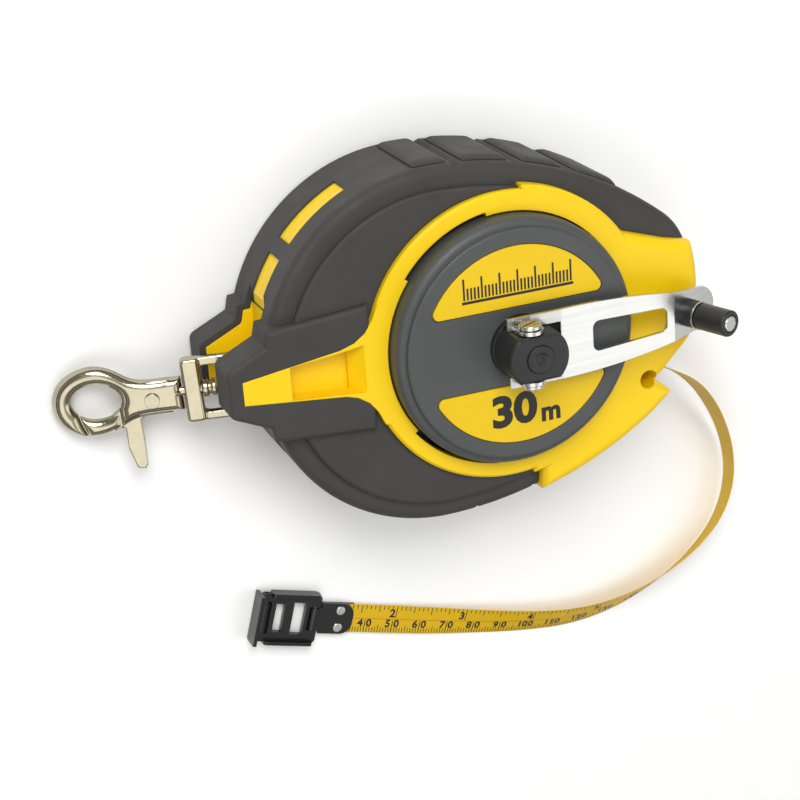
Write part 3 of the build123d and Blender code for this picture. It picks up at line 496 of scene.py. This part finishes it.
def soften(piece, voxel, rounds):
    """The piece's mesh after a fine remesh, if a voxel size is given, and rounds of smoothing."""
    if voxel:
        remesh = piece.modifiers.new("remesh", "REMESH")
        remesh.mode = "VOXEL"
        remesh.voxel_size = voxel * MM
    smooth = piece.modifiers.new("smooth", "SMOOTH")
    smooth.factor = 0.5
    smooth.iterations = rounds
    shape = bpy.data.meshes.new_from_object(piece.evaluated_get(bpy.context.evaluated_depsgraph_get()))
    piece.modifiers.clear()
    piece.data = shape
    return shape


def cast(node, body, voxel, rounds, section=None):
    """Soft cast form of a CAD node: remeshed finely and smoothed, then shown in its place."""
    piece = bpy.data.objects.new(node + "_cast", frame["nodes"][node].data.copy())
    scene.collection.objects.link(piece)
    shape = soften(piece, voxel, rounds)
    if section:
        round_section(shape, *section)
        shape = soften(piece, 0, 5)
    shape.materials.clear()
    shape.materials.append(nickel)
    shape.shade_smooth()
    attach(piece, body)
    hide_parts(node)


cast("snap_hook_body", "snap_hook", 0.22, 4, section=(2.5, 2.9))
cast("snap_trigger", "trigger", 0.2, 4, section=(2.2, 2.6))
cast("lanyard_loop", "loop", 0.22, 22)
cast("swivel_stem", "snap_hook", 0.18, 4)


def coil_spring(node, body, turns=4.5, wire=0.26, sides=8, steps=28):
    """Round-wire compression spring in the place of the CAD's stack of turns."""
    low, high = (Vector(corner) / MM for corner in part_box(node))
    middle, radius = (low + high) / 2, (high.x - low.x) / 2 - wire
    verts, faces, count = [], [], int(turns * steps)
    for step in range(count + 1):
        angle = 2 * pi * step / steps
        height = low.z + wire + (high.z - low.z - 2 * wire) * step / count
        for side in range(sides):
            around = 2 * pi * side / sides
            out = radius + wire * cos(around)
            verts.append((middle.x + out * cos(angle), middle.y + out * sin(angle),
                          height + wire * sin(around)))
    for step in range(count):
        for side in range(sides):
            a, b = step * sides + side, step * sides + (side + 1) % sides
            faces.append((a, a + sides, b + sides, b))
    faces.append(tuple(range(sides)))
    faces.append(tuple(reversed(range(count * sides, (count + 1) * sides))))
    spring = add_mesh(node + "_coil", verts, faces, spring_steel, body)
    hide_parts(node)
    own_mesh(spring)


coil_spring("button_spring", "crank")


# ---------------------------------------------------------------- grip pads on the rims
BELLY_X, BELLY_R, FLANK_R, MID_Y = -20.0, 56.0, 120.5, -1.0       # the case's outline, as in the CAD


def flank(x, side):
    """Point of the case's long flank at one x, and the way out of the case there."""
    reach = sqrt(FLANK_R ** 2 - (x - BELLY_X) ** 2)
    out = Vector(((x - BELLY_X) / FLANK_R, side * reach / FLANK_R, 0))
    return Vector((x, MID_Y + side * (BELLY_R - FLANK_R + reach), 0)), out


def grip_pad(name, side, x_range, z_range, height=1.1, edge=1.6):
    """Raised rubber pad with soft edges, lying on the flank of the case."""
    rows, columns = 15, 17
    verts, faces = [], []

    def rise(at, low, high):
        near = min(at - low, high - at) / edge
        return 1.0 if near >= 1 else sin(max(near, 0) * pi / 2)

    for row in range(rows + 1):
        x = x_range[0] + (x_range[1] - x_range[0]) * row / rows
        place, out = flank(x, side)
        for column in range(columns + 1):
            z = z_range[0] + (z_range[1] - z_range[0]) * column / columns
            lift = height * min(rise(x, *x_range), rise(z, *z_range)) - 0.25
            verts.append(place + out * lift + Vector((0, 0, z)))
    width = columns + 1
    for row in range(rows):
        for column in range(columns):
            a = row * width + column
            cell = (a, a + width, a + width + 1, a + 1)
            faces.append(cell if side > 0 else tuple(reversed(cell)))
    pad = add_mesh(name, verts, faces, rubber, "case")
    thicken = pad.modifiers.new("body", "SOLIDIFY")
    thicken.thickness = 0.6 * MM
    thicken.offset = -1
    smooth = pad.modifiers.new("smooth", "SUBSURF")
    smooth.levels = smooth.render_levels = 1


PAD_RANGES = ((-24.5, -14.0), (-9.0, 5.5), (10.5, 23.0), (28.0, 41.0))
PAD_LOW, PAD_HIGH, PAD_PARTING = 3.0, 33.0, 19.8
for index, x_range in enumerate(PAD_RANGES):
    grip_pad("upper_grip_%d" % index, 1, x_range, (PAD_LOW, PAD_HIGH))
    top = PAD_HIGH if x_range[1] < 9 else PAD_PARTING
    grip_pad("lower_grip_%d" % index, -1, x_range, (PAD_LOW, top))


# ---------------------------------------------------------------- floor and light
LIGHT_AIM = Vector((0, 0, 0.02))


def area_light(name, place, size, power):
    """Soft square light pointed at the object."""
    data = bpy.data.lights.new(name, "AREA")
    data.shape = "SQUARE"
    data.size = size
    data.energy = power
    lamp = bpy.data.objects.new(name, data)
    scene.collection.objects.link(lamp)
    lamp.location = place
    direction = LIGHT_AIM - Vector(place)
    lamp.rotation_euler = direction.to_track_quat("-Z", "Y").to_euler()


FLOOR_HALF, FLOOR_Z = 4.0, -0.0002
floor_mesh = bpy.data.meshes.new("floor")
corners = ((-1, -1), (1, -1), (1, 1), (-1, 1))
floor_mesh.from_pydata([(x * FLOOR_HALF, y * FLOOR_HALF, FLOOR_Z) for x, y in corners], [], [(0, 1, 2, 3)])
floor = bpy.data.objects.new("floor", floor_mesh)
scene.collection.objects.link(floor)
floor_mesh.materials.append(surface("floor_paper", linear(251, 251, 250), 0.8, grain=400, depth=0.02,
                                    mottle=0.005, edge=0))

area_light("key", (-0.25, 0.75, 0.85), 0.6, 9.5)
area_light("fill", (0.75, -0.25, 0.75), 0.8, 2.6)
area_light("top", (-0.5, -0.35, 1.0), 0.8, 2.4)


def studio_world():
    """Pale room: bright overhead, darker towards the horizon, so that metal has something to reflect."""
    world = bpy.data.worlds.new("studio")
    world.use_nodes = True
    tree = world.node_tree
    place = tree.nodes.new("ShaderNodeTexCoord").outputs["Generated"]
    split = tree.nodes.new("ShaderNodeSeparateXYZ")
    tree.links.new(place, split.inputs[0])
    ramp = tree.nodes.new("ShaderNodeValToRGB")
    ramp.color_ramp.elements[0].position = 0.0
    ramp.color_ramp.elements[0].color = (0.30, 0.30, 0.31, 1)
    ramp.color_ramp.elements[1].position = 1.0
    ramp.color_ramp.elements[1].color = (0.95, 0.95, 0.95, 1)
    for place_at, tone in ((0.18, 0.10), (0.32, 0.55), (0.44, 0.8), (0.54, 0.18), (0.68, 0.3), (0.8, 0.8)):
        stop = ramp.color_ramp.elements.new(place_at)
        stop.color = (tone, tone, tone, 1)
    tree.links.new(split.outputs["Z"], ramp.inputs["Fac"])
    tree.links.new(ramp.outputs["Color"], tree.nodes["Background"].inputs["Color"])
    tree.nodes["Background"].inputs["Strength"].default_value = 0.7
    return world


scene.world = studio_world()
